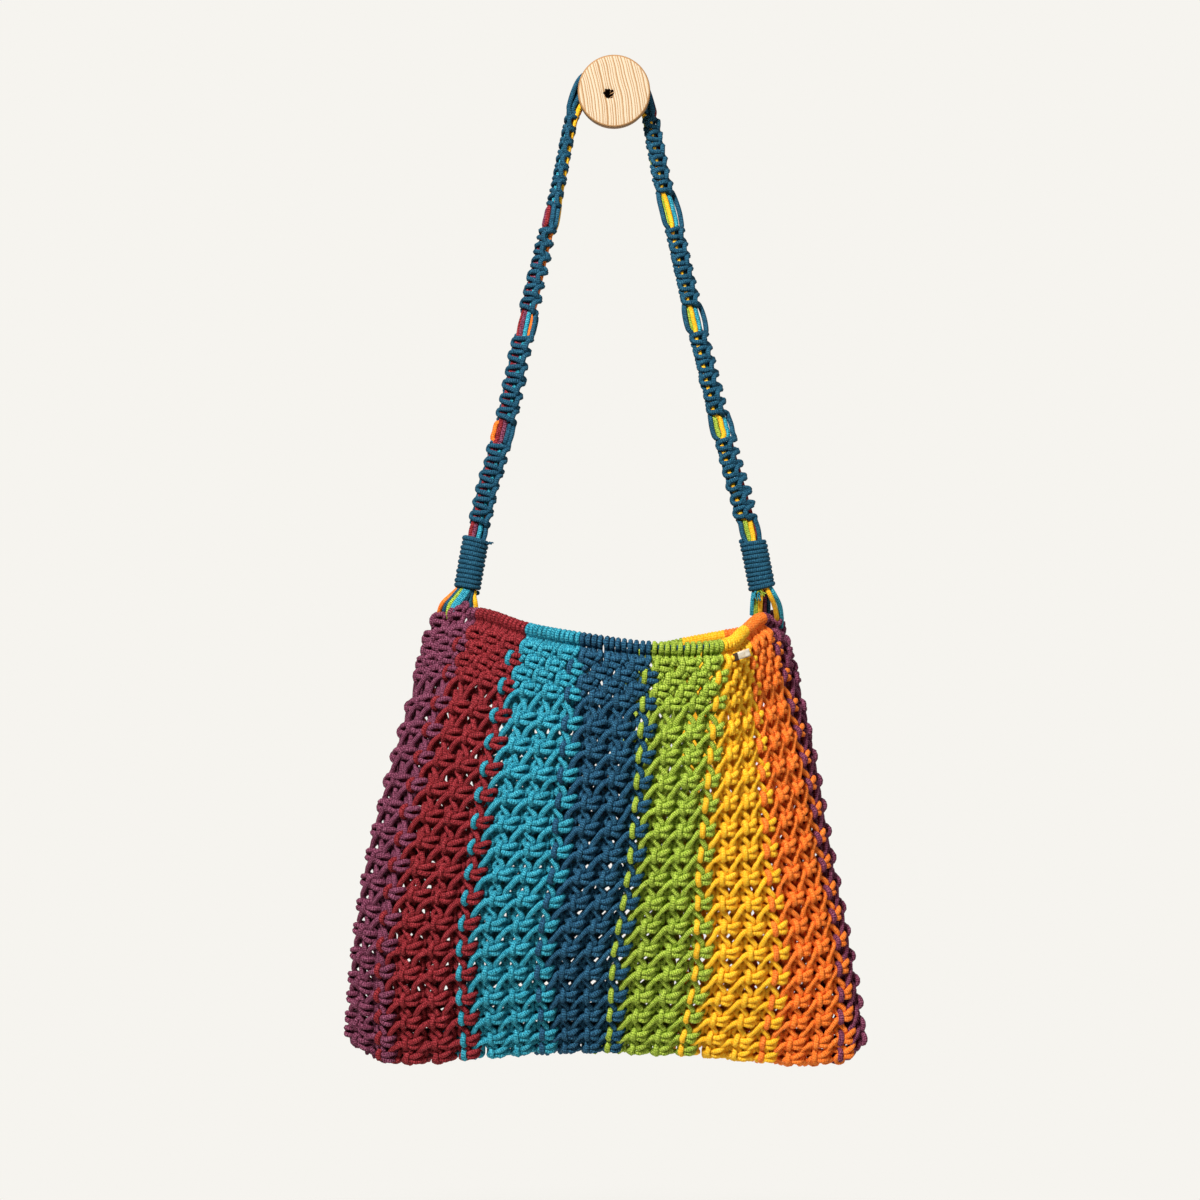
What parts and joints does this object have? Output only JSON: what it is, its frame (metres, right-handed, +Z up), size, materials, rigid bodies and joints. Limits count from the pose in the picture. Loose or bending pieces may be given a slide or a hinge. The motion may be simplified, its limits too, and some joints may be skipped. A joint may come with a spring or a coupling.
{
  "type": "knotted tote bag on a wall knob",
  "caption": "Hollow knotted cord tote with vertical colour bands and an open net body, hung by its knotted strap on a turned wooden wall knob.",
  "frame": {"origin": "centre line of the knob's screw, on the knob's flat back face, in the plane of the wall", "axes": "+Z up, +Y into the wall, +X to the right of someone facing the wall"},
  "size_m": [0.4161, 0.1657, 0.8174],
  "materials": {
    "pine": "turned and sanded, bare",
    "net_cord": "braided cotton cord in bands of plum, crimson, turquoise, petrol blue, lime, yellow and orange",
    "teal_cord": "braided cotton cord, matt",
    "tag_board": "pale stiff tag, bare"
  },
  "bodies": {
    "root": {"wall_knob": "pine", "bag_net": "net_cord", "strap": "teal_cord", "wrap_left": "teal_cord", "wrap_right": "teal_cord", "side_tag": "tag_board"}
  },
  "joints": []
}
